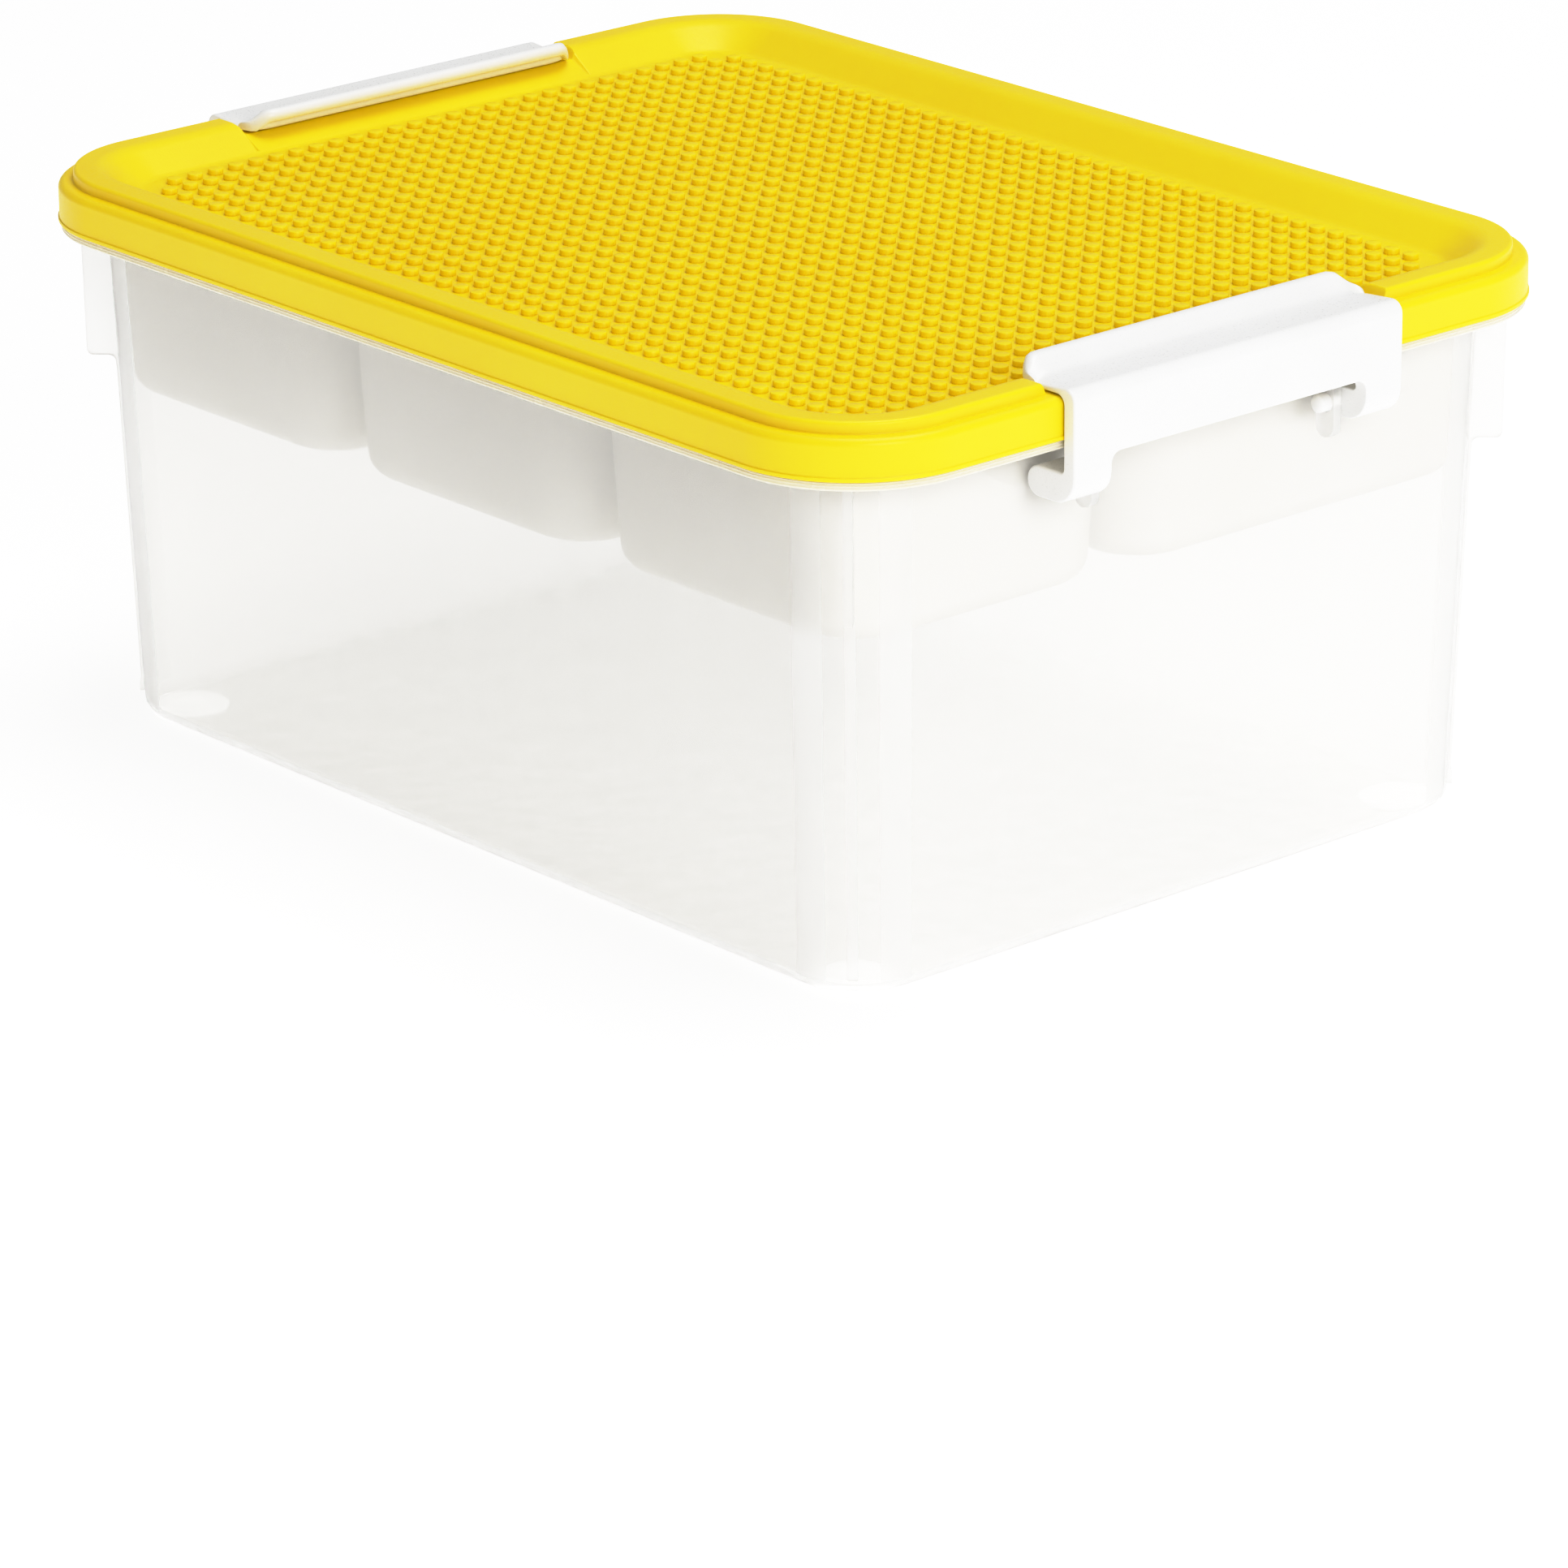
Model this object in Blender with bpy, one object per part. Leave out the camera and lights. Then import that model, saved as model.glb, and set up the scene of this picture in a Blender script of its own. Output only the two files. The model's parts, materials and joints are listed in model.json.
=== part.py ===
# Stacking storage box for building blocks: a clear tub, a lid with a sunk stud plate,
# two end latches and an organiser tray of six cups. Metres, +Z up, origin on the floor
# under the middle of the tub. The length runs along X, and a latch closes each X end.
import math

import bmesh
import bpy
from mathutils import Matrix, Vector

# Overall size of the closed lid
TOTAL_HEIGHT = 0.181
LID_LENGTH = 0.394
LID_WIDTH = 0.299
LID_CORNER_RADIUS = 0.042
SHELL_THICKNESS = 0.002

# Gaps: between faces that touch, and between faces that slide or turn past each other
TOUCH_GAP = 0.0003
RUNNING_GAP = 0.0005

# Lid section: drops are measured down from the band top, insets in from the skirt face
SKIRT_DROP = 0.0163
LEDGE_DROP = 0.0037
LEDGE_INSET = 0.0047
SHOULDER_RADIUS = 0.0024
BAND_EDGE_RADIUS = 0.0012
BAND_FOOT_INSET = 0.0002
BAND_SLOPE_INSET = 0.0139
BAND_INNER_RADIUS = 0.009
PLATE_DROP = 0.0081
PLATE_SLOPE_INSET = 0.0252
PLATE_FILLET_RADIUS = 0.005
PLATE_EDGE_INSET = 0.029
NOTCH_END_GAP = 0.0035
NOTCH_WALL_RUN = 0.0003

# Studs on the plate. The solid carries every second one, counted out from the middle
STUD_PITCH = 0.008
STUD_RADIUS = 0.00245
STUD_HEIGHT = 0.0018
STUD_SIDES = 6
STUD_STRIDE = 2

# Tub
FLANGE_INSET = 0.0006
FLANGE_THICKNESS = 0.0026
WALL_TOP_INSET = 0.0156
WALL_DRAFT = 0.0295
WALL_CORNER_RADIUS = 0.0245
BASE_CORNER_RADIUS = 0.0235
BASE_EDGE_RADIUS = 0.006
COLLAR_DROP = 0.014
FOOT_HEIGHT = 0.0012
FOOT_RADIUS = 0.006
FOOT_INSET = 0.004

# Corner fins under the flange
FIN_HEIGHT = 0.043
FIN_THICKNESS = 0.0026
FIN_TOP_REACH = 0.0087
FIN_FOOT_REACH = 0.0098
FIN_CORNER_RADIUS = 0.002

# How far a fitting, pin or stud reaches into the wall that carries it
FITTING_BITE = 0.001

# Latches, drawn round the pivot: out is away from the tub, up is +Z
LATCH_LENGTH = 0.132
LATCH_THICKNESS = 0.0044
LATCH_SKIRT_GAP = 0.0009
LATCH_LEG_WIDTH = 0.0148
PIVOT_INSET = 0.008
PIVOT_DROP = 0.031
LATCH_TOP_DROP = 0.0008
LATCH_TOP_RADIUS = 0.004
LIP_REACH = 0.0273
LIP_RISE = 0.004
LIP_RAMP_START = 0.0004
LIP_RAMP_RADIUS = 0.006
LIP_END_RADIUS = 0.0017
LIP_END_DROP = 0.0001
LIP_CORNER_RADIUS = 0.009
NIB_REACH = 0.0099
SMALL_FILLET_RADIUS = 0.0005
FOOT_BAR_RADIUS = 0.0045
FOOT_CORNER_RADIUS = 0.0085
LEG_FILLET_RADIUS = 0.0013
PANEL_OVERHANG = 0.0057
WINDOW_CORNER_RADIUS = 0.0035

# Hinge pins on the latches and the tub tabs that hold them
PIN_RADIUS = 0.0028
PIN_END_GAP = 0.0016
TAB_THICKNESS = 0.003
TAB_LEG_GAP = 0.0009
TAB_WIDTH = 0.0085
TAB_DROP = 0.0255

# Organiser tray
TRAY_RIM_THICKNESS = 0.0017
TRAY_RIM_OVERLAP = 0.0014
TRAY_WALL = 0.0016
CUP_DEPTH = 0.0583
CUP_TOP_CLEARANCE = 0.0012
CUP_TOP_GAP = 0.002
CUP_DRAFT = 0.045
CUP_CORNER_RADIUS = 0.020
CUP_EDGE_RADIUS = 0.007
CUP_COLUMNS = 3
ROW_SPLIT_Y = -0.021

# Fineness of the round stretches
CORNER_STEPS = 6
FILLET_STEPS = 3
BAR_STEPS = 8
ROUND_SIDES = 24

# Colours (red, green, blue), linear
LID_YELLOW = (0.95, 0.72, 0.02)
LATCH_WHITE = (0.90, 0.90, 0.89)
TUB_CLEAR = (0.93, 0.93, 0.90)
TRAY_WHITE = (0.86, 0.86, 0.85)

# Sizes that follow from those above
lid_half = Vector((LID_LENGTH / 2, LID_WIDTH / 2))
skirt_bottom = TOTAL_HEIGHT - SKIRT_DROP
flange_top = skirt_bottom - TOUCH_GAP
flange_bottom = flange_top - FLANGE_THICKNESS
collar_top = TOTAL_HEIGHT - COLLAR_DROP
floor_top = FOOT_HEIGHT + SHELL_THICKNESS
pivot = Vector((LID_LENGTH / 2 - PIVOT_INSET, 0, TOTAL_HEIGHT - PIVOT_DROP))
leg_inner_y = LATCH_LENGTH / 2 - LATCH_LEG_WIDTH
tab_outer_y = leg_inner_y - TAB_LEG_GAP
tab_middle_y = tab_outer_y - TAB_THICKNESS / 2
tray_rim_bottom = collar_top + TOUCH_GAP
corner_signs = [(1, 1), (-1, 1), (-1, -1), (1, -1)]


def clear_scene():
    for item in list(bpy.data.objects):
        bpy.data.objects.remove(item, do_unlink=True)


def make_material(name, colour, roughness, alpha=1):
    material = bpy.data.materials.new(name)
    material.use_nodes = True
    shader = material.node_tree.nodes["Principled BSDF"]
    shader.inputs["Base Color"].default_value = (*colour, 1)
    shader.inputs["Roughness"].default_value = roughness
    shader.inputs["Metallic"].default_value = 0
    shader.inputs["Alpha"].default_value = alpha
    material.diffuse_color = (*colour, 1)
    return material


def add_object(name, mesh, material=None, location=(0, 0, 0)):
    item = bpy.data.objects.new(name, mesh)
    bpy.context.scene.collection.objects.link(item)
    item.location = location
    if material:
        mesh.materials.append(material)
    return item


def finish_mesh(name, shape):
    bmesh.ops.recalc_face_normals(shape, faces=shape.faces)
    mesh = bpy.data.meshes.new(name)
    shape.to_mesh(mesh)
    shape.free()
    mesh.shade_smooth()
    mesh.set_sharp_from_angle(angle=math.radians(30))
    return mesh


# Shapes a target with a hidden tool object through a Boolean modifier.
def use_tool(target, tool, operation):
    tool.hide_render = True
    tool.display_type = "WIRE"
    modifier = target.modifiers.new(tool.name, "BOOLEAN")
    modifier.operation = operation
    modifier.solver = "EXACT"
    modifier.object = tool


# Rounds the corners of a flat path. Each corner is (across, up, radius); the first and
# last keep their place.
def rounded_path(corners, steps=FILLET_STEPS):
    path = []
    count = len(corners)
    for index, (across, up, radius) in enumerate(corners):
        here = Vector((across, up))
        if radius == 0:
            path.append(here)
            continue
        before = (Vector(corners[index - 1][:2]) - here).normalized()
        after = (Vector(corners[(index + 1) % count][:2]) - here).normalized()
        half_angle = before.angle(after) / 2
        middle = here + (before + after).normalized() * radius / math.sin(half_angle)
        start = here + before * radius / math.tan(half_angle) - middle
        end = here + after * radius / math.tan(half_angle) - middle
        sweep = start.angle_signed(end)
        for step in range(steps + 1):
            turn = Matrix.Rotation(-sweep * step / steps, 2)
            path.append(middle + turn @ start)
    return path


# One ring of points round a rounded rectangle, with extra points at the given places
# along its two X sides.
def rounded_ring(half_x, half_y, radius, height, side_places=()):
    ring = []
    for index, (sign_x, sign_y) in enumerate(corner_signs):
        if sign_x == sign_y:
            ring += [Vector((sign_x * half_x, sign_x * place, height)) for place in side_places]
        for step in range(CORNER_STEPS + 1):
            angle = math.radians(90) * (index + step / CORNER_STEPS)
            ring.append(Vector((
                sign_x * (half_x - radius) + radius * math.cos(angle),
                sign_y * (half_y - radius) + radius * math.sin(angle),
                height,
            )))
    return ring


# Joins rings of equally many points side by side and closes the first and the last.
def add_loft(shape, rings):
    loops = [[shape.verts.new(point) for point in ring] for ring in rings]
    count = len(loops[0])
    for lower, upper in zip(loops, loops[1:]):
        for index in range(count):
            after = (index + 1) % count
            shape.faces.new((lower[index], lower[after], upper[after], upper[index]))
    shape.faces.new(loops[0])
    shape.faces.new(loops[-1])


# Extrudes a flat outline of (across, up) points by the given depth, then places it.
def add_prism(shape, outline, depth, place):
    near = [place @ Vector((across, -depth / 2, up)) for across, up in outline]
    far = [place @ Vector((across, depth / 2, up)) for across, up in outline]
    add_loft(shape, [near, far])


def add_rod(shape, radius, depth, place, sides=ROUND_SIDES):
    made = bmesh.ops.create_cone(
        shape, cap_ends=True, segments=sides, radius1=radius, radius2=radius, depth=depth)
    bmesh.ops.transform(shape, matrix=place, verts=made["verts"])


# Half sizes and corner radius of the tub wall's outer face at a height.
def wall_at(height, inset=0):
    below = flange_bottom - height
    wall_height = flange_bottom - FOOT_HEIGHT
    shrink = (WALL_CORNER_RADIUS - BASE_CORNER_RADIUS) * below / wall_height
    half_x = lid_half.x - WALL_TOP_INSET - WALL_DRAFT * below - inset
    half_y = lid_half.y - WALL_TOP_INSET - WALL_DRAFT * below - inset
    return half_x, half_y, WALL_CORNER_RADIUS - shrink - inset


def wall_ring(height, inset=0):
    half_x, half_y, radius = wall_at(height, inset)
    return rounded_ring(half_x, half_y, radius, height)


# The rings of a rounded bottom edge, from the flat bottom up to the wall.
def bottom_edge(bottom, edge_radius, ring_at):
    rings = []
    for step in range(FILLET_STEPS + 1):
        angle = math.radians(90) * step / FILLET_STEPS
        height = bottom + edge_radius * (1 - math.cos(angle))
        rings.append(ring_at(height, edge_radius * (1 - math.sin(angle))))
    return rings


def flange_ring(height):
    return rounded_ring(
        lid_half.x - FLANGE_INSET, lid_half.y - FLANGE_INSET, LID_CORNER_RADIUS - FLANGE_INSET, height)


def make_tub(material):
    shape = bmesh.new()
    inner_radius = BASE_EDGE_RADIUS - SHELL_THICKNESS
    inner_edge = bottom_edge(
        floor_top, inner_radius, lambda height, inset: wall_ring(height, inset + SHELL_THICKNESS))
    rings = bottom_edge(FOOT_HEIGHT, BASE_EDGE_RADIUS, wall_ring)
    rings += [
        wall_ring(flange_bottom),
        flange_ring(flange_bottom),
        flange_ring(flange_top),
        wall_ring(flange_top),
        wall_ring(collar_top),
        wall_ring(collar_top, SHELL_THICKNESS),
    ]
    rings += reversed(inner_edge)
    add_loft(shape, rings)
    tub = add_object("tub", finish_mesh("tub", shape), material)
    use_tool(tub, make_tub_fittings(), "UNION")
    use_tool(tub, make_pin_holes(), "DIFFERENCE")
    return tub


# Fins, tabs and feet that are moulded with the tub, as one tool mesh.
def make_tub_fittings():
    shape = bmesh.new()
    for sign_x, sign_y in corner_signs:
        add_fin(shape, sign_x, sign_y)
        add_tab(shape, sign_x, sign_y)
        add_foot(shape, sign_x, sign_y)
    return add_object("tub_fittings", finish_mesh("tub_fittings", shape))


# A thin plate that stands out diagonally from a corner, under the flange.
def add_fin(shape, sign_x, sign_y):
    half_x, half_y, radius = wall_at(flange_bottom)
    foot_x, foot_y, foot_radius = wall_at(flange_bottom - FIN_HEIGHT)
    corner = Vector((half_x - radius, half_y - radius, 0))
    foot_corner = Vector((foot_x - foot_radius, foot_y - foot_radius, 0))
    foot_face = foot_radius - (corner - foot_corner).length
    outline = rounded_path([
        (radius - FITTING_BITE, flange_bottom + FITTING_BITE, 0),
        (radius + FIN_TOP_REACH, flange_bottom + FITTING_BITE, 0),
        (foot_face + FIN_FOOT_REACH, flange_bottom - FIN_HEIGHT, FIN_CORNER_RADIUS),
        (foot_face - FITTING_BITE, flange_bottom - FIN_HEIGHT, 0),
    ])
    heading = math.atan2(sign_y, sign_x)
    place = Matrix.Translation((sign_x * corner.x, sign_y * corner.y, 0))
    add_prism(shape, outline, FIN_THICKNESS, place @ Matrix.Rotation(heading, 4, "Z"))


# A tab with a round lower end that hangs from the flange beside a latch leg.
def add_tab(shape, sign_x, sign_y):
    tip = skirt_bottom - TAB_DROP
    half_width = TAB_WIDTH / 2
    outline = rounded_path([
        (-half_width, flange_bottom + FITTING_BITE, 0),
        (half_width, flange_bottom + FITTING_BITE, 0),
        (half_width, tip, half_width - TOUCH_GAP),
        (-half_width, tip, half_width - TOUCH_GAP),
    ])
    place = Matrix.Translation((sign_x * pivot.x, sign_y * tab_middle_y, 0))
    add_prism(shape, outline, TAB_THICKNESS, place)


def add_foot(shape, sign_x, sign_y):
    half_x, half_y, radius = wall_at(FOOT_HEIGHT, BASE_EDGE_RADIUS + FOOT_INSET + FOOT_RADIUS)
    place = Matrix.Translation((sign_x * half_x, sign_y * half_y, (FOOT_HEIGHT + FITTING_BITE) / 2))
    add_rod(shape, FOOT_RADIUS, FOOT_HEIGHT + FITTING_BITE, place)


def make_pin_holes():
    shape = bmesh.new()
    for sign_x, sign_y in corner_signs:
        place = Matrix.Translation((sign_x * pivot.x, sign_y * tab_middle_y, pivot.z))
        place = place @ Matrix.Rotation(math.radians(90), 4, "X")
        add_rod(shape, PIN_RADIUS + TOUCH_GAP, TAB_THICKNESS * 2, place)
    return add_object("pin_holes", finish_mesh("pin_holes", shape))


# The lid is one shell: its section runs from the plate out over the raised band, down the
# skirt and back underneath. Where a latch lip lies, the band is cut down to the ledge.
def make_lid(material):
    slope = (PLATE_DROP / (PLATE_SLOPE_INSET - BAND_SLOPE_INSET))
    under_shift = SHELL_THICKNESS * (math.hypot(1, slope) - 1) / slope
    under_ledge = LEDGE_DROP + SHELL_THICKNESS
    outer = rounded_path([
        (PLATE_EDGE_INSET, -PLATE_DROP, 0),
        (PLATE_SLOPE_INSET, -PLATE_DROP, PLATE_FILLET_RADIUS),
        (BAND_SLOPE_INSET, 0, BAND_INNER_RADIUS),
        (LEDGE_INSET + BAND_FOOT_INSET, 0, BAND_EDGE_RADIUS),
        (LEDGE_INSET, -LEDGE_DROP, 0),
        (0, -LEDGE_DROP, SHOULDER_RADIUS),
        (0, -SKIRT_DROP, 0),
    ])
    inner = rounded_path([
        (SHELL_THICKNESS, -SKIRT_DROP, 0),
        (SHELL_THICKNESS, -under_ledge, 0),
        (LEDGE_INSET + SHELL_THICKNESS, -under_ledge, 0),
        (LEDGE_INSET + SHELL_THICKNESS, -SHELL_THICKNESS, 0),
        (BAND_SLOPE_INSET - under_shift, -SHELL_THICKNESS, BAND_INNER_RADIUS - SHELL_THICKNESS),
        (PLATE_SLOPE_INSET - under_shift, -PLATE_DROP - SHELL_THICKNESS, PLATE_FILLET_RADIUS),
        (PLATE_EDGE_INSET, -PLATE_DROP - SHELL_THICKNESS, 0),
    ])
    notch_end = LATCH_LENGTH / 2 + NOTCH_END_GAP
    shape = bmesh.new()
    rings = [lid_ring(inset, up, notch_end, LEDGE_DROP) for inset, up in outer]
    rings += [lid_ring(inset, up, notch_end + SHELL_THICKNESS, under_ledge) for inset, up in inner]
    add_loft(shape, rings)
    lid = add_object("lid", finish_mesh("lid", shape), material, (0, 0, TOTAL_HEIGHT))
    studs = make_studs()
    studs.parent = lid
    use_tool(lid, studs, "UNION")
    return lid


# A ring of the lid, pressed down to the notch level between the notch ends.
def lid_ring(inset, up, cut_end, cut_drop):
    notch_end = LATCH_LENGTH / 2 + NOTCH_END_GAP
    ends = []
    for end in (notch_end, notch_end + SHELL_THICKNESS):
        ends += [end, end + NOTCH_WALL_RUN]
    places = [-end for end in reversed(ends)] + ends
    ring = rounded_ring(
        lid_half.x - inset, lid_half.y - inset, LID_CORNER_RADIUS - inset, up, places)
    for point in ring:
        on_end = abs(point.x) > lid_half.x - inset - TOUCH_GAP
        if on_end and abs(point.y) < cut_end + NOTCH_WALL_RUN / 2:
            point.z = min(point.z, -cut_drop)
    return ring


# As many studs as the flat plate takes, less those that would pass its round corners.
def stud_places():
    plate_half = lid_half - Vector((PLATE_EDGE_INSET, PLATE_EDGE_INSET))
    corner_radius = LID_CORNER_RADIUS - PLATE_EDGE_INSET
    corner = plate_half - Vector((corner_radius, corner_radius))
    columns, rows = [math.floor((half - STUD_RADIUS) / STUD_PITCH + 0.5) for half in plate_half]
    places = []
    for column in range(0, columns, STUD_STRIDE):
        for row in range(0, rows, STUD_STRIDE):
            place = Vector((column + 0.5, row + 0.5)) * STUD_PITCH
            past = place - corner
            if min(past) > 0 and past.length + STUD_RADIUS > corner_radius:
                continue
            places += [(sign_x * place.x, sign_y * place.y) for sign_x, sign_y in corner_signs]
    return places


def make_studs():
    height = STUD_HEIGHT + FITTING_BITE
    middle = STUD_HEIGHT - PLATE_DROP - height / 2
    shape = bmesh.new()
    for across, along in stud_places():
        add_rod(shape, STUD_RADIUS, height, Matrix.Translation((across, along, middle)), STUD_SIDES)
    return add_object("lid_studs", finish_mesh("lid_studs", shape))


# The latch section, drawn round the pivot: a lip over the lid, a panel down its face and
# a J-shaped foot whose round end turns about the pivot.
def latch_outline():
    outer_face = PIVOT_INSET + LATCH_SKIRT_GAP + LATCH_THICKNESS
    inner_face = outer_face - LATCH_THICKNESS
    top = PIVOT_DROP - LATCH_TOP_DROP
    lip_end = outer_face - LIP_REACH
    nib_level = PIVOT_DROP - LEDGE_DROP + RUNNING_GAP
    outline = rounded_path([
        (0, -FOOT_BAR_RADIUS, 0),
        (outer_face, -FOOT_BAR_RADIUS, FOOT_CORNER_RADIUS),
        (outer_face, top, LATCH_TOP_RADIUS),
        (-LIP_RAMP_START, top, LIP_RAMP_RADIUS),
        (lip_end, top + LIP_RISE + LATCH_TOP_DROP, LIP_END_RADIUS),
        (lip_end, PIVOT_DROP - LIP_END_DROP, LIP_END_RADIUS - RUNNING_GAP),
        (-NIB_REACH, PIVOT_DROP - LIP_END_DROP, SMALL_FILLET_RADIUS),
        (-NIB_REACH, nib_level, SMALL_FILLET_RADIUS),
        (inner_face, nib_level, SHOULDER_RADIUS + RUNNING_GAP),
        (inner_face, FOOT_BAR_RADIUS, LEG_FILLET_RADIUS),
        (0, FOOT_BAR_RADIUS, 0),
    ])
    for step in range(1, BAR_STEPS):
        angle = math.radians(90 + 180 * step / BAR_STEPS)
        outline.append(Vector((math.cos(angle), math.sin(angle))) * FOOT_BAR_RADIUS)
    return outline


def make_latch_mesh():
    outline = latch_outline()
    lip_end = min(point.x for point in outline)
    sections = []
    for step in range(FILLET_STEPS + 1):
        angle = math.radians(90) * step / FILLET_STEPS
        place = LATCH_LENGTH / 2 - LIP_CORNER_RADIUS * (1 - math.sin(angle))
        sections.append((place, LIP_CORNER_RADIUS * (1 - math.cos(angle))))
    sections = [(-place, pull) for place, pull in reversed(sections)] + sections
    rings = []
    for place, pull in sections:
        ring = []
        for point in outline:
            share = max(0, point.x / lip_end)
            ring.append(Vector((point.x + pull * share, place, point.y)))
        rings.append(ring)
    shape = bmesh.new()
    add_loft(shape, rings)
    return finish_mesh("latch", shape)


# The space between the legs, below the panel's lower edge.
def make_leg_window():
    panel_edge = PIVOT_DROP - SKIRT_DROP - PANEL_OVERHANG
    reach = PIVOT_INSET + LATCH_SKIRT_GAP + LATCH_THICKNESS + FOOT_BAR_RADIUS
    below = FOOT_BAR_RADIUS * 2
    shape = bmesh.new()
    outline = rounded_path([
        (-leg_inner_y, -below, 0),
        (leg_inner_y, -below, 0),
        (leg_inner_y, panel_edge, WINDOW_CORNER_RADIUS),
        (-leg_inner_y, panel_edge, WINDOW_CORNER_RADIUS),
    ])
    add_prism(shape, outline, reach * 2, Matrix.Rotation(math.radians(90), 4, "Z"))
    return add_object("leg_window", finish_mesh("leg_window", shape))


# Two hinge pins that reach inward from the legs, each with a domed end.
def make_hinge_pins():
    pin_end = tab_outer_y - TAB_THICKNESS - PIN_END_GAP
    pin_root = leg_inner_y + FITTING_BITE
    dome_height = PIN_END_GAP - TOUCH_GAP
    shape = bmesh.new()
    for sign in (1, -1):
        rings = [pin_ring(sign * pin_root, PIN_RADIUS)]
        for step in range(FILLET_STEPS):
            angle = math.radians(90) * step / FILLET_STEPS
            place = pin_end + dome_height * (1 - math.sin(angle))
            rings.append(pin_ring(sign * place, PIN_RADIUS * math.cos(angle)))
        add_loft(shape, rings)
    return add_object("hinge_pins", finish_mesh("hinge_pins", shape))


def pin_ring(place, radius):
    ring = []
    for side in range(ROUND_SIDES):
        angle = math.radians(360) * side / ROUND_SIDES
        ring.append(Vector((radius * math.cos(angle), place, radius * math.sin(angle))))
    return ring


def make_latches(material):
    mesh = make_latch_mesh()
    for name, turn in (("latch_right", 0), ("latch_left", math.radians(180))):
        hinge = bpy.data.objects.new(name + "_hinge", None)
        bpy.context.scene.collection.objects.link(hinge)
        hinge.location = Matrix.Rotation(turn, 3, "Z") @ pivot
        hinge.rotation_euler = (0, 0, turn)
        latch = add_object(name, mesh.copy(), material)
        window = make_leg_window()
        pins = make_hinge_pins()
        for item in (latch, window, pins):
            item.parent = hinge
        use_tool(latch, window, "DIFFERENCE")
        use_tool(latch, pins, "UNION")


# The low and high edges of the cups at the rim, as (centre, half size) along each axis.
def cup_places():
    half_x, half_y, radius = wall_at(collar_top, SHELL_THICKNESS + CUP_TOP_CLEARANCE)
    column_width = 2 * half_x / CUP_COLUMNS
    columns = []
    for column in range(CUP_COLUMNS):
        middle = -half_x + column_width * (column + 0.5)
        columns.append((middle, (column_width - CUP_TOP_GAP) / 2))
    rows = []
    for low, high in ((-half_y, ROW_SPLIT_Y), (ROW_SPLIT_Y, half_y)):
        rows.append(((low + high) / 2, (high - low - CUP_TOP_GAP) / 2))
    return [(column, row) for column in columns for row in rows]


# One cup with sloping walls, from its flat bottom to its top.
def add_cup(shape, column, row, inset, bottom, top):
    def ring_at(height, inward):
        taper = CUP_DRAFT * (TRAY_RIM_THICKNESS - height) + inset + inward
        radius = CUP_CORNER_RADIUS - inset - inward
        ring = rounded_ring(column[1] - taper, row[1] - taper, radius, height)
        return [point + Vector((column[0], row[0], 0)) for point in ring]
    rings = bottom_edge(bottom, CUP_EDGE_RADIUS - inset, ring_at)
    rings.append(ring_at(top, 0))
    add_loft(shape, rings)


def make_tray(material):
    half_x, half_y, radius = wall_at(collar_top, -TRAY_RIM_OVERLAP)
    shape = bmesh.new()
    add_loft(shape, [
        rounded_ring(half_x, half_y, radius, 0),
        rounded_ring(half_x, half_y, radius, TRAY_RIM_THICKNESS),
    ])
    tray = add_object(
        "organiser_tray", finish_mesh("organiser_tray", shape), material, (0, 0, tray_rim_bottom))
    outsides = bmesh.new()
    insides = bmesh.new()
    for column, row in cup_places():
        add_cup(outsides, column, row, 0, -CUP_DEPTH, TRAY_RIM_THICKNESS / 2)
        add_cup(insides, column, row, TRAY_WALL, TRAY_WALL - CUP_DEPTH, TRAY_RIM_THICKNESS * 2)
    for name, tool_shape, operation in (
            ("cup_outsides", outsides, "UNION"), ("cup_insides", insides, "DIFFERENCE")):
        tool = add_object(name, finish_mesh(name, tool_shape))
        tool.parent = tray
        use_tool(tray, tool, operation)
    return tray


def main():
    clear_scene()
    make_tub(make_material("clear_plastic", TUB_CLEAR, 0.12, 0.35))
    make_lid(make_material("yellow_plastic", LID_YELLOW, 0.38))
    make_latches(make_material("white_plastic", LATCH_WHITE, 0.32))
    make_tray(make_material("milky_plastic", TRAY_WHITE, 0.35))


main()
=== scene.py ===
import json
import math

import bmesh
import bpy
from mathutils import Matrix, Vector


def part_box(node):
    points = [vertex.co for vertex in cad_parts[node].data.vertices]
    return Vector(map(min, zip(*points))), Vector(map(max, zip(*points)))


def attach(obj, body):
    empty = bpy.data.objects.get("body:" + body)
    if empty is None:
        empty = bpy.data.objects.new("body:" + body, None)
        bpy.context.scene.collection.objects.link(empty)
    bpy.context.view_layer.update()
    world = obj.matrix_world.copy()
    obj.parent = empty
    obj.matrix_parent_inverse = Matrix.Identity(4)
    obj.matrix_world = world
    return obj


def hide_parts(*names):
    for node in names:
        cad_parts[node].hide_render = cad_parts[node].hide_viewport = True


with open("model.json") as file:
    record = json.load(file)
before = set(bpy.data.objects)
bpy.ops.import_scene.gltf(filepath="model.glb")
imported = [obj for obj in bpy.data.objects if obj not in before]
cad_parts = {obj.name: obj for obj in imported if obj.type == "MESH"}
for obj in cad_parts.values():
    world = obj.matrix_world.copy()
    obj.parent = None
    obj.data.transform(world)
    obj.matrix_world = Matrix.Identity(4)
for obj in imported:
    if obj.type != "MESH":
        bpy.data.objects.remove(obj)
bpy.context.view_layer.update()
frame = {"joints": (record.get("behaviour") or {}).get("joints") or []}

# Places that every piece shares, read from the frame
tubLow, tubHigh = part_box("tub")
lidLow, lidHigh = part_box("lid")
latchLow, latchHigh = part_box("latch_right")
trayLow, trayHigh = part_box("organiser_tray")
hingeJoint = next(joint for joint in frame["joints"] if joint["child"] == "latch_right_body")
hingeX, _, hingeZ = hingeJoint["pos_m"]
cornerSigns = [(1, 1), (-1, 1), (-1, -1), (1, -1)]
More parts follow.
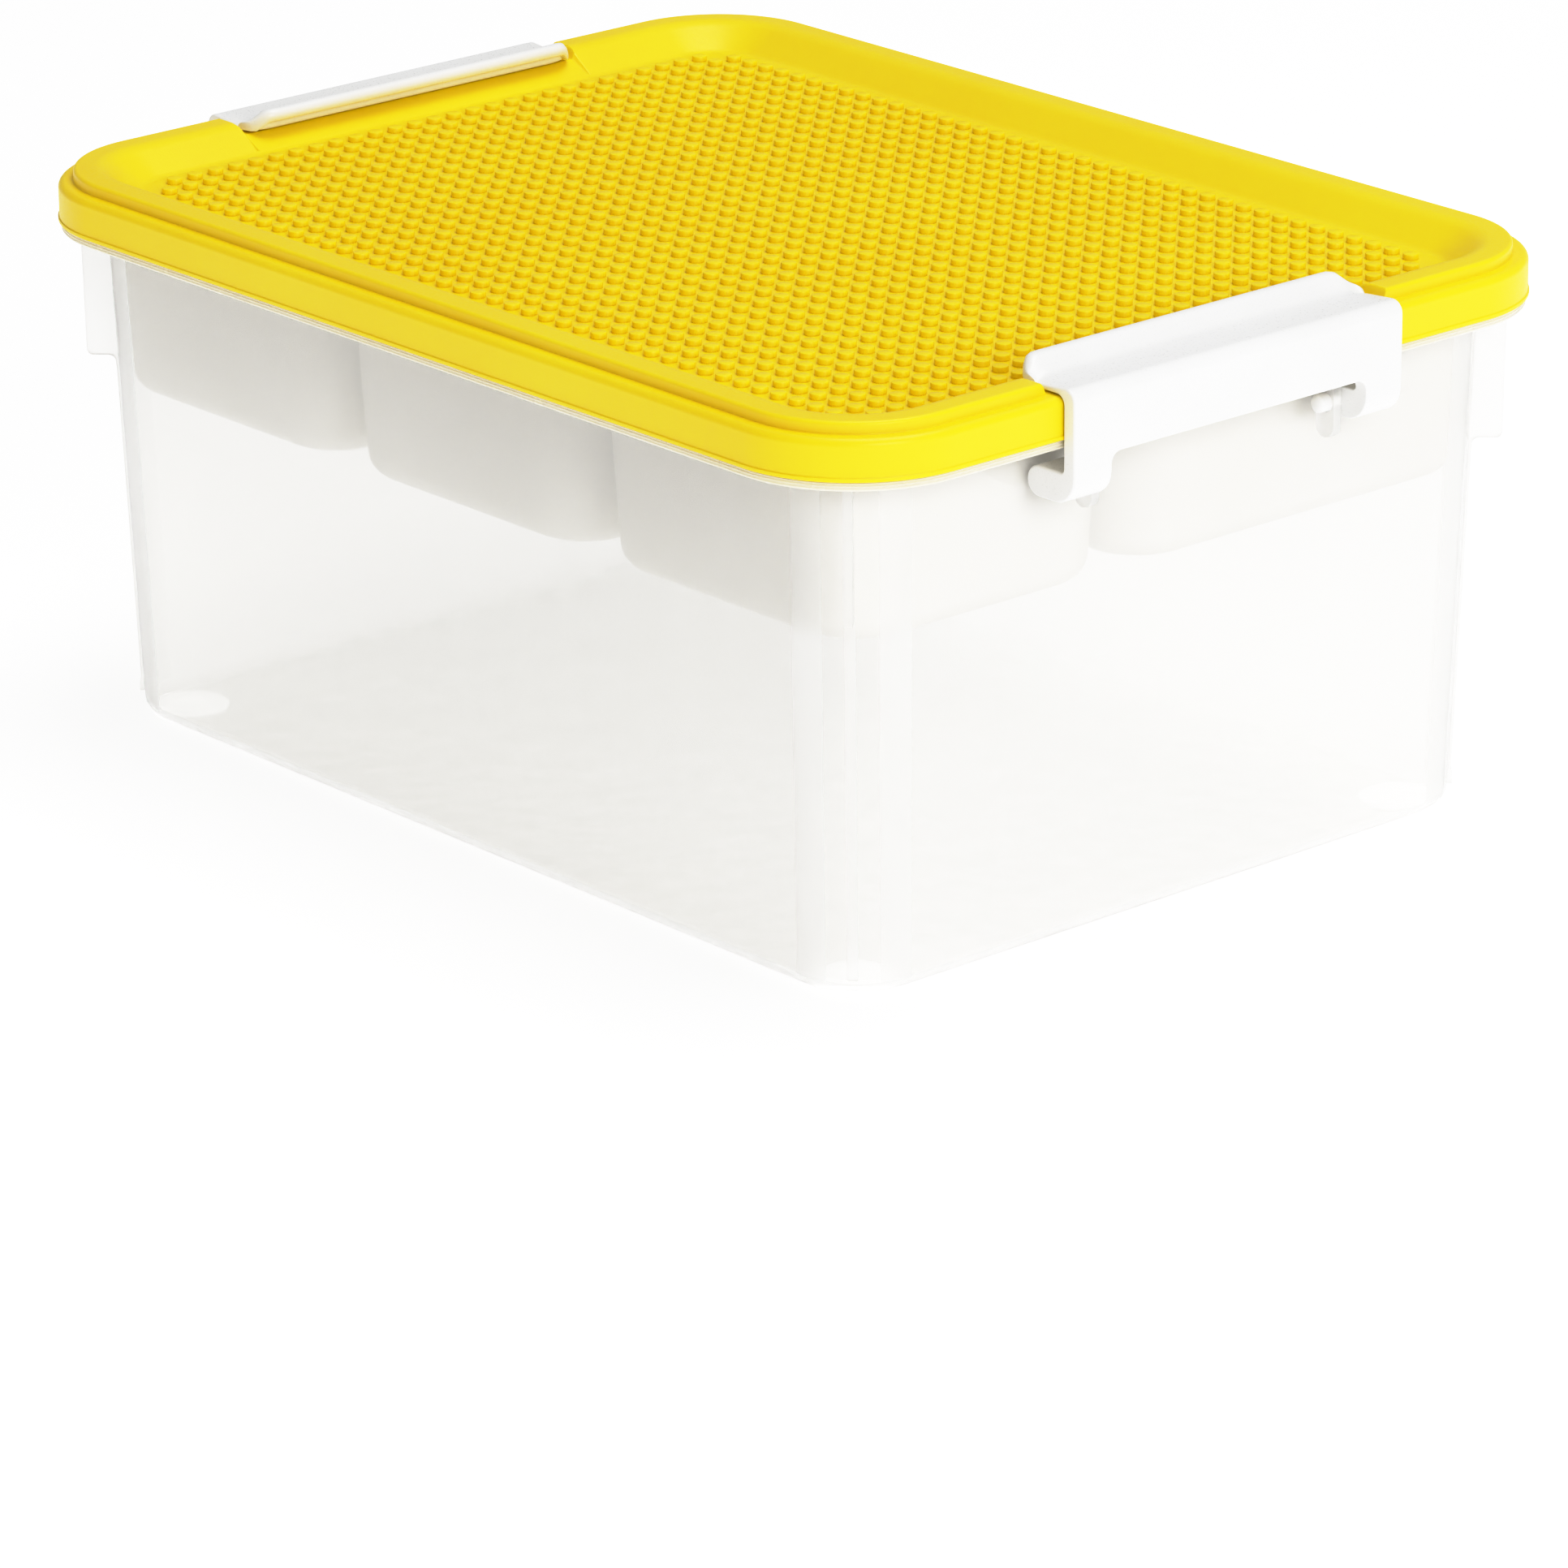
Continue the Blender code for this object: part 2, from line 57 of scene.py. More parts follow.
quarterTurn = math.radians(90)

meshLook = {
    "cornerSteps": 24,      # segments round a vertical corner
    "filletSteps": 6,       # segments round a small edge
    "turnedSides": 40,      # sides of a small round body
    "fineSides": 96,        # sides of a wide round body
    "sharpAngle": 32,       # degrees past which an edge stays crisp
    "bite": 0.001,          # how far a joined detail reaches into what carries it
}


# Shapes

def addObject(name, mesh, material=None):
    item = bpy.data.objects.new(name, mesh)
    bpy.context.scene.collection.objects.link(item)
    if material:
        mesh.materials.clear()
        mesh.materials.append(material)
    return item


def smoothMesh(mesh):
    mesh.shade_smooth()
    mesh.set_sharp_from_angle(angle=math.radians(meshLook["sharpAngle"]))


def finishMesh(name, shape):
    bmesh.ops.recalc_face_normals(shape, faces=shape.faces)
    mesh = bpy.data.meshes.new(name)
    shape.to_mesh(mesh)
    shape.free()
    smoothMesh(mesh)
    return mesh


# Turns an object's live modifiers into a plain mesh
def freeze(item):
    evaluated = item.evaluated_get(bpy.context.evaluated_depsgraph_get())
    mesh = bpy.data.meshes.new_from_object(evaluated)
    item.modifiers.clear()
    item.data = mesh


def settle(item):
    freeze(item)
    smoothMesh(item.data)


def useTool(target, tool, operation):
    modifier = target.modifiers.new(tool.name, "BOOLEAN")
    modifier.operation = operation
    modifier.solver = "EXACT"
    modifier.material_mode = "TRANSFER"
    modifier.object = tool


def dropTools(*tools):
    for tool in tools:
        bpy.data.objects.remove(tool, do_unlink=True)


def softenEdges(item, width, segments, angle):
    modifier = item.modifiers.new("soft_edges", "BEVEL")
    modifier.width = width
    modifier.segments = segments
    modifier.limit_method = "ANGLE"
    modifier.angle_limit = math.radians(angle)
    modifier.harden_normals = False


# Lets the wide faces set the shading, so that they look flat beside small fillets
def evenShading(item):
    modifier = item.modifiers.new("even_shading", "WEIGHTED_NORMAL")
    modifier.keep_sharp = True
    freeze(item)


# Rounds the corners of a flat path given as (across, up, radius)
def roundedPath(corners, steps=meshLook["filletSteps"]):
    path = []
    count = len(corners)
    for index, (across, up, radius) in enumerate(corners):
        here = Vector((across, up))
        if radius == 0:
            path.append(here)
            continue
        before = (Vector(corners[index - 1][:2]) - here).normalized()
        after = (Vector(corners[(index + 1) % count][:2]) - here).normalized()
        halfAngle = before.angle(after) / 2
        middle = here + (before + after).normalized() * radius / math.sin(halfAngle)
        start = here + before * radius / math.tan(halfAngle) - middle
        end = here + after * radius / math.tan(halfAngle) - middle
        sweep = start.angle_signed(end)
        for step in range(steps + 1):
            path.append(middle + Matrix.Rotation(-sweep * step / steps, 2) @ start)
    return path


# A ring round a rounded rectangle, with extra points along its two X sides
def roundedRing(
        halfX, halfY, radius, height, sidePlaces=(), steps=meshLook["cornerSteps"], turns=None):
    ring = []
    turns = turns or [quarterTurn * step / steps for step in range(steps + 1)]
    for index, (signX, signY) in enumerate(cornerSigns):
        if signX == signY:
            ring += [Vector((signX * halfX, signX * place, height)) for place in sidePlaces]
        for turn in turns:
            angle = quarterTurn * index + turn
            across = signX * (halfX - radius) + radius * math.cos(angle)
            along = signY * (halfY - radius) + radius * math.sin(angle)
            ring.append(Vector((across, along, height)))
    return ring


def addLoft(shape, rings):
    loops = [[shape.verts.new(point) for point in ring] for ring in rings]
    count = len(loops[0])
    for lower, upper in zip(loops, loops[1:]):
        for index in range(count):
            after = (index + 1) % count
            shape.faces.new((lower[index], lower[after], upper[after], upper[index]))
    shape.faces.new(loops[0])
    shape.faces.new(loops[-1])


# Extrudes an (across, up) outline along Y by the depth, then places it
def addPrism(shape, outline, depth, place):
    near = [place @ Vector((across, -depth / 2, up)) for across, up in outline]
    far = [place @ Vector((across, depth / 2, up)) for across, up in outline]
    addLoft(shape, [near, far])


# A turned body: rings of (place along the axis, radius), closed at both ends
def addTurned(shape, profile, place, sides=meshLook["turnedSides"]):
    rings = []
    for along, radius in profile:
        ring = []
        for side in range(sides):
            angle = 2 * math.pi * side / sides
            ring.append(place @ Vector((radius * math.cos(angle), radius * math.sin(angle), along)))
        rings.append(ring)
    addLoft(shape, rings)


# Materials

grainSize = 0.0007              # spark-eroded mould texture, in metres
noiseRange = (0.3, 0.7)         # nearly all of a noise lies in here


class Recipe:
    def __init__(self, name, colour, shine):
        self.material = bpy.data.materials.new(name)
        self.material.use_nodes = True
        self.tree = self.material.node_tree
        self.shader = self.tree.nodes["Principled BSDF"]
        self.output = self.tree.nodes["Material Output"]
        self.shader.inputs["Base Color"].default_value = (*colour, 1)
        self.shader.inputs["Specular IOR Level"].default_value = shine
        self.coordinates = self.add("ShaderNodeTexCoord").outputs["Object"]

    def add(self, kind, **settings):
        node = self.tree.nodes.new(kind)
        for name, value in settings.items():
            setattr(node, name, value)
        return node

    def link(self, source, target):
        self.tree.links.new(source, target)

    # Noise whose grain is given in metres
    def noise(self, grain, detail=2, stretch=(1, 1, 1)):
        mapping = self.add("ShaderNodeMapping")
        mapping.inputs["Scale"].default_value = stretch
        self.link(self.coordinates, mapping.inputs["Vector"])
        node = self.add("ShaderNodeTexNoise")
        node.inputs["Scale"].default_value = 1 / grain
        node.inputs["Detail"].default_value = detail
        self.link(mapping.outputs["Vector"], node.inputs["Vector"])
        return node.outputs["Fac"]

    # Carries a noise over to a range
    def spread(self, source, low, high):
        node = self.add("ShaderNodeMapRange")
        node.inputs["From Min"].default_value = noiseRange[0]
        node.inputs["From Max"].default_value = noiseRange[1]
        node.inputs["To Min"].default_value = low
        node.inputs["To Max"].default_value = high
        self.link(source, node.inputs["Value"])
        return node.outputs["Result"]

    def varyColour(self, source, first, second):
        node = self.add("ShaderNodeMix", data_type="RGBA")
        node.inputs[6].default_value = (*first, 1)
        node.inputs[7].default_value = (*second, 1)
        self.link(self.spread(source, 0, 1), node.inputs[0])
        self.link(node.outputs[2], self.shader.inputs["Base Color"])

    def varyRoughness(self, source, low, high):
        self.link(self.spread(source, low, high), self.shader.inputs["Roughness"])

    # Bumps are (height source, depth in metres), laid over each other
    def addBumps(self, *bumps):
        normal = None
        for source, depth in bumps:
            node = self.add("ShaderNodeBump")
            node.inputs["Strength"].default_value = 1
            node.inputs["Distance"].default_value = depth
            self.link(source, node.inputs["Height"])
            if normal:
                self.link(normal, node.inputs["Normal"])
            normal = node.outputs["Normal"]
        self.link(normal, self.shader.inputs["Normal"])

    # Lets light travel a little way inside, as far as the radius of each colour
    def scatterWithin(self, weight, radius):
        self.shader.inputs["Subsurface Weight"].default_value = weight
        self.shader.inputs["Subsurface Radius"].default_value = radius
        self.shader.inputs["Subsurface Scale"].default_value = 1


lidPlastic = {
    "yellow": (0.95, 0.715, 0.006),
    "warmYellow": (0.93, 0.68, 0.004),
    "shine": 0.3,
    "roughness": (0.3, 0.44),
    "flowSize": 0.09,           # slow unevenness of a moulded sheet
    "flowDetail": 3,
    "flowDepth": 0.0006,
    "grainDepth": 0.00003,
    "scatter": 0.3,
    "scatterRadius": (0.003, 0.0026, 0.0004),
}


def makeLidPlastic():
    look = lidPlastic
    recipe = Recipe("lid_yellow_plastic", look["yellow"], look["shine"])
    flow = recipe.noise(look["flowSize"], look["flowDetail"])
    grain = recipe.noise(grainSize)
    recipe.varyColour(flow, look["yellow"], look["warmYellow"])
    recipe.varyRoughness(grain, *look["roughness"])
    recipe.addBumps((flow, look["flowDepth"]), (grain, look["grainDepth"]))
    recipe.scatterWithin(look["scatter"], look["scatterRadius"])
    return recipe.material


latchPlastic = {
    "white": (0.90, 0.90, 0.895),
    "shade": (0.86, 0.86, 0.85),
    "shine": 0.5,
    "roughness": (0.26, 0.36),
    "flowSize": 0.03,
    "flowDepth": 0.0002,
    "scatter": 0.15,
    "scatterRadius": (0.004, 0.004, 0.004),
}


def makeLatchPlastic():
    look = latchPlastic
    recipe = Recipe("latch_white_plastic", look["white"], look["shine"])
    flow = recipe.noise(look["flowSize"])
    grain = recipe.noise(grainSize)
    recipe.varyColour(flow, look["white"], look["shade"])
    recipe.varyRoughness(grain, *look["roughness"])
    recipe.addBumps((flow, look["flowDepth"]))
    recipe.scatterWithin(look["scatter"], look["scatterRadius"])
    return recipe.material


trayPlastic = {
    "white": (0.81, 0.785, 0.73),
    "shade": (0.77, 0.745, 0.685),
    "shine": 0.5,
    "roughness": (0.36, 0.5),
    "flowSize": 0.045,
    "flowDepth": 0.0003,
    "grainDepth": 0.00001,
    "scatter": 0.3,
    "scatterRadius": (0.006, 0.006, 0.005),
}


def makeTrayPlastic():
    look = trayPlastic
    recipe = Recipe("tray_milky_plastic", look["white"], look["shine"])
    flow = recipe.noise(look["flowSize"])
    grain = recipe.noise(grainSize)
    recipe.varyColour(flow, look["white"], look["shade"])
    recipe.varyRoughness(grain, *look["roughness"])
    recipe.addBumps((flow, look["flowDepth"]), (grain, look["grainDepth"]))
    recipe.scatterWithin(look["scatter"], look["scatterRadius"])
    return recipe.material


tubPlastic = {
    "tint": (0.985, 0.98, 0.965),
    "shadowTint": (0.94, 0.935, 0.92),
    "bending": 1.49,            # index of refraction
    "flowSize": 0.045,
    "flowDepth": 0.0006,
    "streakSize": 0.01125,
    "streakShape": (1, 1, 0.12),
    "clearShare": 0.76,         # the rest of the wall scatters light like faint haze
    "clearRoughness": (0.05, 0.12),
    "clearGrainDepth": 0.000002,
    "clearShine": 0.5,
    "frostedShare": 0.68,
    "frostedRoughness": (0.4, 0.5),
    "frostedGrainDepth": 0.00003,
    "frostedShine": 0.5,
}


# Clear and frosted walls bend and mirror light; lamps reach what is inside them
def makeTubPlastic(kind):
    look = tubPlastic
    recipe = Recipe("tub_" + kind + "_plastic", look["tint"], look[kind + "Shine"])
    flow = recipe.noise(look["flowSize"])
    streak = recipe.noise(look["streakSize"], stretch=look["streakShape"])
    grain = recipe.noise(grainSize)
    recipe.varyRoughness(streak, *look[kind + "Roughness"])
    recipe.addBumps((flow, look["flowDepth"]), (grain, look[kind + "GrainDepth"]))
    recipe.shader.inputs["Transmission Weight"].default_value = look[kind + "Share"]
    recipe.shader.inputs["IOR"].default_value = look["bending"]
    lamps = recipe.add("ShaderNodeLightPath").outputs["Is Shadow Ray"]
    passing = recipe.add("ShaderNodeBsdfTransparent")
    passing.inputs["Color"].default_value = (*look["shadowTint"], 1)
    mixed = recipe.add("ShaderNodeMixShader")
    recipe.link(lamps, mixed.inputs["Fac"])
    recipe.link(recipe.shader.outputs["BSDF"], mixed.inputs[1])
    recipe.link(passing.outputs["BSDF"], mixed.inputs[2])
    recipe.link(mixed.outputs["Shader"], recipe.output.inputs["Surface"])
    return recipe.material


flangePlastic = {
    # painted light: both cream colours stand for the lid's yellow light reflected onto the flange
    "paintedLidLightCream": (0.84, 0.78, 0.64),
    "shade": (0.80, 0.73, 0.56),
    "shine": 0.5,
    "roughness": (0.18, 0.3),
    "flowSize": 0.09,
    "streakSize": 0.01125,
    "scatter": 0.5,
    "scatterRadius": (0.006, 0.006, 0.005),
}


# The flange is thick enough to look milky; its cream colours are painted light, the lid's yellow
# reflected onto it
def makeFlangePlastic():
    look = flangePlastic
    recipe = Recipe("tub_flange_plastic", look["paintedLidLightCream"], look["shine"])
    flow = recipe.noise(look["flowSize"])
    streak = recipe.noise(look["streakSize"])
    recipe.varyColour(flow, look["paintedLidLightCream"], look["shade"])
    recipe.varyRoughness(streak, *look["roughness"])
    recipe.scatterWithin(look["scatter"], look["scatterRadius"])
    return recipe.material


# Lid

lidLook = {
    "cornerRadius": 0.042,
    "wall": 0.002,
    "skirtDrop": lidHigh.z - lidLow.z,
    "ledgeDrop": 0.0037,
    "ledgeInset": 0.0047,
    "shoulderRadius": 0.0024,
    "bandFootInset": 0.0002,
    "bandEdgeRadius": 0.0012,
    "bandSlopeInset": 0.0139,
    "bandInnerRadius": 0.009,
    "plateDrop": 0.0081,
    "plateSlopeInset": 0.0252,
    "plateFilletRadius": 0.005,
    "plateEdgeInset": 0.029,
    "lipHeight": 0.0011,        # thin bead round the skirt's lower edge
    "lipReach": 0.0004,
    "crispRadius": 0.0003,
    "notchEnd": latchHigh.y + 0.0035,
    "notchRun": 0.0022,         # length over which the band is cut down
    "notchSteps": 8,
}


# How high the lid may stand at a place along its end, where the latch lip lies
def notchLevel(along, end, drop):
    share = (end - abs(along)) / lidLook["notchRun"]
    if share <= 0:
        return None
    return -drop * (0.5 - 0.5 * math.cos(math.pi * min(1, share)))


def lidRing(inset, up, end, drop, places):
    look = lidLook
    halfX, halfY = lidHigh.x - inset, lidHigh.y - inset
    ring = roundedRing(halfX, halfY, look["cornerRadius"] - inset, up, places)
    for point in ring:
        level = notchLevel(point.y, end, drop)
        if level is not None and abs(point.x) > halfX - look["crispRadius"]:
            point.z = min(point.z, level)
        point.z += lidHigh.z
    return ring


def makeLid(material):
    look = lidLook
    wall, crisp = look["wall"], look["crispRadius"]
    slope = look["plateDrop"] / (look["plateSlopeInset"] - look["bandSlopeInset"])
    underShift = wall * (math.hypot(1, slope) - 1) / slope
    underLedge = look["ledgeDrop"] + wall
    underPlate = -look["plateDrop"] - wall
    beadTop = -look["skirtDrop"] + look["lipHeight"]
    outer = roundedPath([
        (look["plateEdgeInset"], -look["plateDrop"], 0),
        (look["plateSlopeInset"], -look["plateDrop"], look["plateFilletRadius"]),
        (look["bandSlopeInset"], 0, look["bandInnerRadius"]),
        (look["ledgeInset"] + look["bandFootInset"], 0, look["bandEdgeRadius"]),
        (look["ledgeInset"], -look["ledgeDrop"], crisp),
        (0, -look["ledgeDrop"], look["shoulderRadius"]),
        (0, beadTop + crisp, crisp / 2),
        (-look["lipReach"], beadTop, crisp / 2),
        (-look["lipReach"], -look["skirtDrop"], crisp),
        (wall / 2, -look["skirtDrop"], 0),
    ])
    inner = roundedPath([
        (wall, -look["skirtDrop"], 0),
        (wall, -underLedge, wall / 2),
        (look["ledgeInset"] + wall, -underLedge, crisp),
        (look["ledgeInset"] + wall, -wall, crisp),
        (look["bandSlopeInset"] - underShift, -wall, look["bandInnerRadius"] - wall),
        (look["plateSlopeInset"] - underShift, underPlate, look["plateFilletRadius"]),
        (look["plateEdgeInset"], underPlate, 0),
    ])
    outerEnd, innerEnd = look["notchEnd"], look["notchEnd"] + wall
    places = []
    for end in (outerEnd, innerEnd):
        for step in range(look["notchSteps"] + 1):
            places.append(end - look["notchRun"] * (1 - step / look["notchSteps"]))
    places = sorted([-place for place in places] + places)
    rings = [lidRing(inset, up, outerEnd, look["ledgeDrop"], places) for inset, up in outer]
    rings += [lidRing(inset, up, innerEnd, underLedge, places) for inset, up in inner]
    shape = bmesh.new()
    addLoft(shape, rings)
    lid = addObject("lid_shell", finishMesh("lid_shell", shape), material)
    evenShading(lid)
    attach(lid, "lid_body")
    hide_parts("lid")


# Studs on the lid's plate, laid out by Geometry Nodes

studLook = {
    "Pitch": 0.008,
    "Columns": 42,
    "Rows": 30,
    "Stud Radius": 0.00245,
    "Stud Height": 0.0018,
    "Edge Radius": 0.0004,
    "Sides": 16,
    "Sink": 0.0002,             # how deep the studs reach into the plate
    "Plate Height": lidHigh.z - lidLook["plateDrop"],
}
studMergeDistance = 0.00002


class NodeBench:
    def __init__(self, name):
        self.tree = bpy.data.node_groups.new(name, "GeometryNodeTree")
        self.tree.interface.new_socket(
            "Geometry", in_out="OUTPUT", socket_type="NodeSocketGeometry")

    def input(self, name, kind, value=None):
        socket = self.tree.interface.new_socket(name, in_out="INPUT", socket_type=kind)
        if value is not None:
            socket.default_value = value

    def add(self, kind, links=None, **settings):
        node = self.tree.nodes.new(kind)
        for name, value in settings.items():
            setattr(node, name, value)
        for name, source in (links or {}).items():
            target = node.inputs[name]
            if isinstance(source, bpy.types.NodeSocket):
                self.tree.links.new(source, target)
            else:
                target.default_value = source
        return node

    def sum(self, operation, first, second):
        return self.add("ShaderNodeMath", {0: first, 1: second}, operation=operation).outputs[0]


def makeStudTree():
    bench = NodeBench("stud_field")
    for name, value in studLook.items():
        whole = isinstance(value, int)
        bench.input(name, "NodeSocketInt" if whole else "NodeSocketFloat", value)
    bench.input("Material", "NodeSocketMaterial")
    given = bench.tree.nodes.new("NodeGroupInput").outputs
    radius, edge = given["Stud Radius"], given["Edge Radius"]

    # One stud: a drum, two narrow cones for the rounded edge, and its two ends
    slant = math.sin(math.radians(45))
    drum = bench.sum("ADD", bench.sum("SUBTRACT", given["Stud Height"], edge), given["Sink"])
    lowStep = bench.sum("MULTIPLY", edge, slant)
    highStep = bench.sum("MULTIPLY", edge, 1 - slant)
    middleRadius = bench.sum("SUBTRACT", radius, highStep)
    topRadius = bench.sum("SUBTRACT", radius, edge)
    parts = []
    level = 0
    for low, high, depth in (
            (radius, radius, drum),
            (radius, middleRadius, lowStep),
            (middleRadius, topRadius, highStep)):
        cone = bench.add("GeometryNodeMeshCone", {
            "Vertices": given["Sides"], "Radius Bottom": low, "Radius Top": high, "Depth": depth,
        }, fill_type="NONE")
        shift = bench.add("ShaderNodeCombineXYZ", {"Z": level})
        moved = bench.add("GeometryNodeTransform", {
            "Geometry": cone.outputs["Mesh"], "Translation": shift.outputs[0]})
        parts.append(moved.outputs["Geometry"])
        level = bench.sum("ADD", level, depth)
    cap = bench.add("GeometryNodeMeshCircle", {
        "Vertices": given["Sides"], "Radius": topRadius}, fill_type="NGON")
    shift = bench.add("ShaderNodeCombineXYZ", {"Z": level})
    moved = bench.add("GeometryNodeTransform", {
        "Geometry": cap.outputs["Mesh"], "Translation": shift.outputs[0]})
    parts.append(moved.outputs["Geometry"])
    base = bench.add("GeometryNodeMeshCircle", {
        "Vertices": given["Sides"], "Radius": radius}, fill_type="NGON")
    turned = bench.add("GeometryNodeFlipFaces", {"Mesh": base.outputs["Mesh"]})
    parts.append(turned.outputs["Mesh"])
    joined = bench.add("GeometryNodeJoinGeometry")
    for part in parts:
        bench.tree.links.new(part, joined.inputs["Geometry"])
    stud = bench.add("GeometryNodeMergeByDistance", {
        "Geometry": joined.outputs["Geometry"], "Distance": studMergeDistance})

    # The field, less its four corner places
    runs, edges = [], []
    for count in ("Columns", "Rows"):
        run = bench.sum("MULTIPLY", bench.sum("SUBTRACT", given[count], 1), given["Pitch"])
        runs.append(run)
        edges.append(bench.sum("MULTIPLY", bench.sum("SUBTRACT", run, given["Pitch"]), 0.5))
    grid = bench.add("GeometryNodeMeshGrid", {
        "Size X": runs[0], "Size Y": runs[1],
        "Vertices X": given["Columns"], "Vertices Y": given["Rows"],
    })
    place = bench.add("GeometryNodeInputPosition")
    split = bench.add("ShaderNodeSeparateXYZ", {0: place.outputs[0]})
    past = []
    for axis, edgePlace in enumerate(edges):
        size = bench.add("ShaderNodeMath", {0: split.outputs[axis]}, operation="ABSOLUTE")
        past.append(bench.sum("GREATER_THAN", size.outputs[0], edgePlace))
    corner = bench.sum("MULTIPLY", past[0], past[1])
    kept = bench.add("GeometryNodeDeleteGeometry", {
        "Geometry": grid.outputs["Mesh"], "Selection": corner}, domain="POINT")
    height = bench.sum("SUBTRACT", given["Plate Height"], given["Sink"])
    lift = bench.add("ShaderNodeCombineXYZ", {"Z": height})
    raised = bench.add("GeometryNodeTransform", {
        "Geometry": kept.outputs["Geometry"], "Translation": lift.outputs[0]})
    placed = bench.add("GeometryNodeInstanceOnPoints", {
        "Points": raised.outputs["Geometry"], "Instance": stud.outputs["Geometry"]})
    real = bench.add("GeometryNodeRealizeInstances", {"Geometry": placed.outputs["Instances"]})
    painted = bench.add("GeometryNodeSetMaterial", {
        "Geometry": real.outputs["Geometry"], "Material": given["Material"]})
    output = bench.tree.nodes.new("NodeGroupOutput")
    bench.tree.links.new(painted.outputs["Geometry"], output.inputs["Geometry"])
    return bench.tree


def makeStuds(material):
    studs = addObject("lid_studs", bpy.data.meshes.new("lid_studs"))
    modifier = studs.modifiers.new("stud_field", "NODES")
    tree = makeStudTree()
    modifier.node_group = tree
    for socket in tree.interface.items_tree:
        if socket.in_out == "INPUT" and socket.name in studLook:
            modifier[socket.identifier] = studLook[socket.name]
        if socket.name == "Material":
            modifier[socket.identifier] = material
    settle(studs)
    studs.data.polygons.foreach_set("material_index", [0] * len(studs.data.polygons))
    studs.data.materials.clear()
    studs.data.materials.append(material)
    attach(studs, "lid_body")


# Latches

latchLook = {
    "legWidth": 0.0148,
    "thickness": 0.0048,
    "topRadius": 0.004,
    "topLevel": 0.0302,         # heights here are above the pivot
    "rampStart": -0.0045,
    "rampRadius": 0.006,
    "crestStart": -0.0102,
    "crestRadius": 0.0035,
    "lipTop": 0.035,
    "lipUnder": 0.0309,
    "lipEndRadius": 0.0021,
    "lipUnderRadius": 0.0018,
    "lipCornerRadius": 0.009,
    "lipFadeStart": 0.0062,     # from an end in to where the crest starts to drop
    "lipFade": 0.004,
    "nibReach": 0.0099,
    "nibLevel": 0.0278,
    "nibRadius": 0.0014,
    "nibFillet": 0.0004,
    "shoulderRadius": 0.0029,
    "barRadius": 0.0047,
    "barReach": 0.002,          # from the pivot in to the middle of the round end
    "footCornerRadius": 0.0085,
    "legFilletRadius": 0.0013,
    "panelEdge": 0.009,
    "windowRadius": 0.0035,
    "edgeRadius": 0.0008,       # along the two ends
    "windowEdge": 0.0005,       # round the legs and the panel
    "edgeSteps": 3,
    "pinRadius": 0.0028,
    "pinReach": 0.0082,
    "pinDome": 0.0016,
    "barSteps": 18,
    "endSteps": 7,
}


# Draws a closed outline in by a small distance, to its left as it runs
def drawIn(outline, distance):
    drawn = []
    for index, here in enumerate(outline):
        before = (here - outline[index - 1]).normalized()
        after = (outline[(index + 1) % len(outline)] - here).normalized()
        across = Vector((-before.y - after.y, before.x + after.x)).normalized()
        drawn.append(here + across * distance / across.dot(Vector((-before.y, before.x))))
    return drawn


# How far a quarter circle has come in at a place near an end
def roundAt(place, end, radius):
    past = max(0, abs(place) - (end - radius))
    return radius - math.sqrt(max(0, radius * radius - past * past))


def latchOutline():
    look = latchLook
    outerFace = latchHigh.x - hingeX
    innerFace = outerFace - look["thickness"]
    lipEnd = latchLow.x - hingeX
    outline = roundedPath([
        (-look["barReach"], -look["barRadius"], 0),
        (outerFace, -look["barRadius"], look["footCornerRadius"]),
        (outerFace, look["topLevel"], look["topRadius"]),
        (look["rampStart"], look["topLevel"], look["rampRadius"]),
        (look["crestStart"], look["lipTop"], look["crestRadius"]),
        (lipEnd, look["lipTop"], look["lipEndRadius"]),
        (lipEnd, look["lipUnder"], look["lipUnderRadius"]),
        (-look["nibReach"], look["lipUnder"], look["nibFillet"]),
        (-look["nibReach"], look["nibLevel"], look["nibRadius"]),
        (innerFace, look["nibLevel"], look["shoulderRadius"]),
        (innerFace, look["barRadius"], look["legFilletRadius"]),
        (-look["barReach"], look["barRadius"], 0),
    ])
    for step in range(1, look["barSteps"]):
        angle = quarterTurn + math.pi * step / look["barSteps"]
        across = look["barRadius"] * math.cos(angle) - look["barReach"]
        outline.append(Vector((across, look["barRadius"] * math.sin(angle))))
    return outline


# Draws the lip in and lowers its crest towards the latch's two ends
def shapeLip(point, place):
    look = latchLook
    across, up = point
    if up < look["nibLevel"] - look["nibRadius"] or across > 0:
        return Vector((across, place, up))
    pull = roundAt(place, latchHigh.y, look["lipCornerRadius"])
    past = max(0, abs(place) - latchHigh.y + look["lipFadeStart"]) / look["lipFadeStart"]
    reach = min(1, across / look["crestStart"])
    drop = look["lipFade"] * reach * past * past * (3 - 2 * past)
    lowest = min(up, look["nibLevel"] + look["nibFillet"])
    lipEnd = latchLow.x - hingeX
    return Vector((across + pull * across / lipEnd, place, max(lowest, up - drop)))


# The latch round its pivot: sections along its length, drawn in at its two ends
def makeLatchBody():
    look = latchLook
    outline = latchOutline()
    places = set()
    for radius in (look["lipCornerRadius"], look["edgeRadius"]):
        for step in range(look["endSteps"] + 1):
            place = latchHigh.y - radius * (1 - math.sin(quarterTurn * step / look["endSteps"]))
            places.update((place, -place))
    rings = []
    for place in sorted(places):
        section = drawIn(outline, roundAt(place, latchHigh.y, look["edgeRadius"]))
        rings.append([shapeLip(point, place) for point in section])
    shape = bmesh.new()
    addLoft(shape, rings)
    return addObject("latch_body", finishMesh("latch_body", shape))


